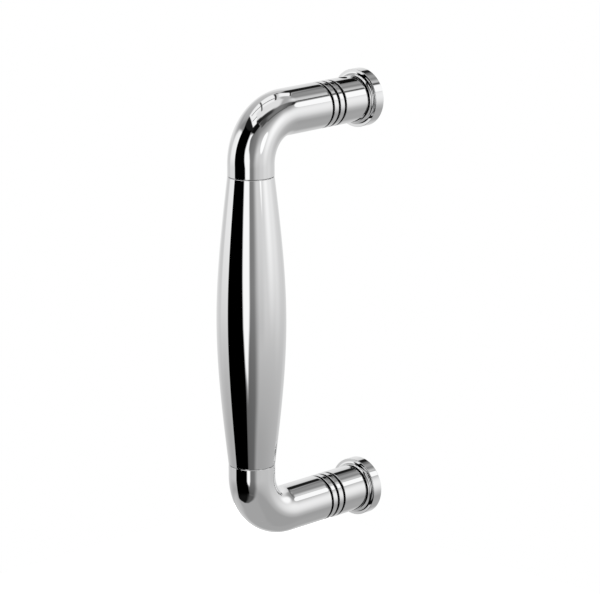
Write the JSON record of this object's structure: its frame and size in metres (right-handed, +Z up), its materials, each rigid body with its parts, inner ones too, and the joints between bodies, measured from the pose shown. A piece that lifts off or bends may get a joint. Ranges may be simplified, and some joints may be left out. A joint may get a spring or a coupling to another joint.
{
  "type": "door pull handle",
  "caption": "Barrel-shaped door pull held off the door by bent round arms with turned grooves; each arm ends in a small round rose and is bolted from behind the door.",
  "frame": {"origin": "on the door face, midway between the two fixings", "axes": "+Z up along the grip, +Y into the door, so the handle stands out towards -Y; +X to the right, seen from the handle's side of the door"},
  "size_m": [0.0258, 0.0726, 0.1738],
  "materials": {
    "polished_chrome": "polished",
    "screw_steel": "satin",
    "blackened_steel": "satin"
  },
  "bodies": {
    "root": {"grip": "polished_chrome", "upper_elbow": "polished_chrome", "lower_elbow": "polished_chrome", "upper_rose": "polished_chrome", "lower_rose": "polished_chrome", "upper_joining_stud": "screw_steel", "lower_joining_stud": "screw_steel", "upper_set_screw": "blackened_steel", "lower_set_screw": "blackened_steel"}
  },
  "joints": []
}
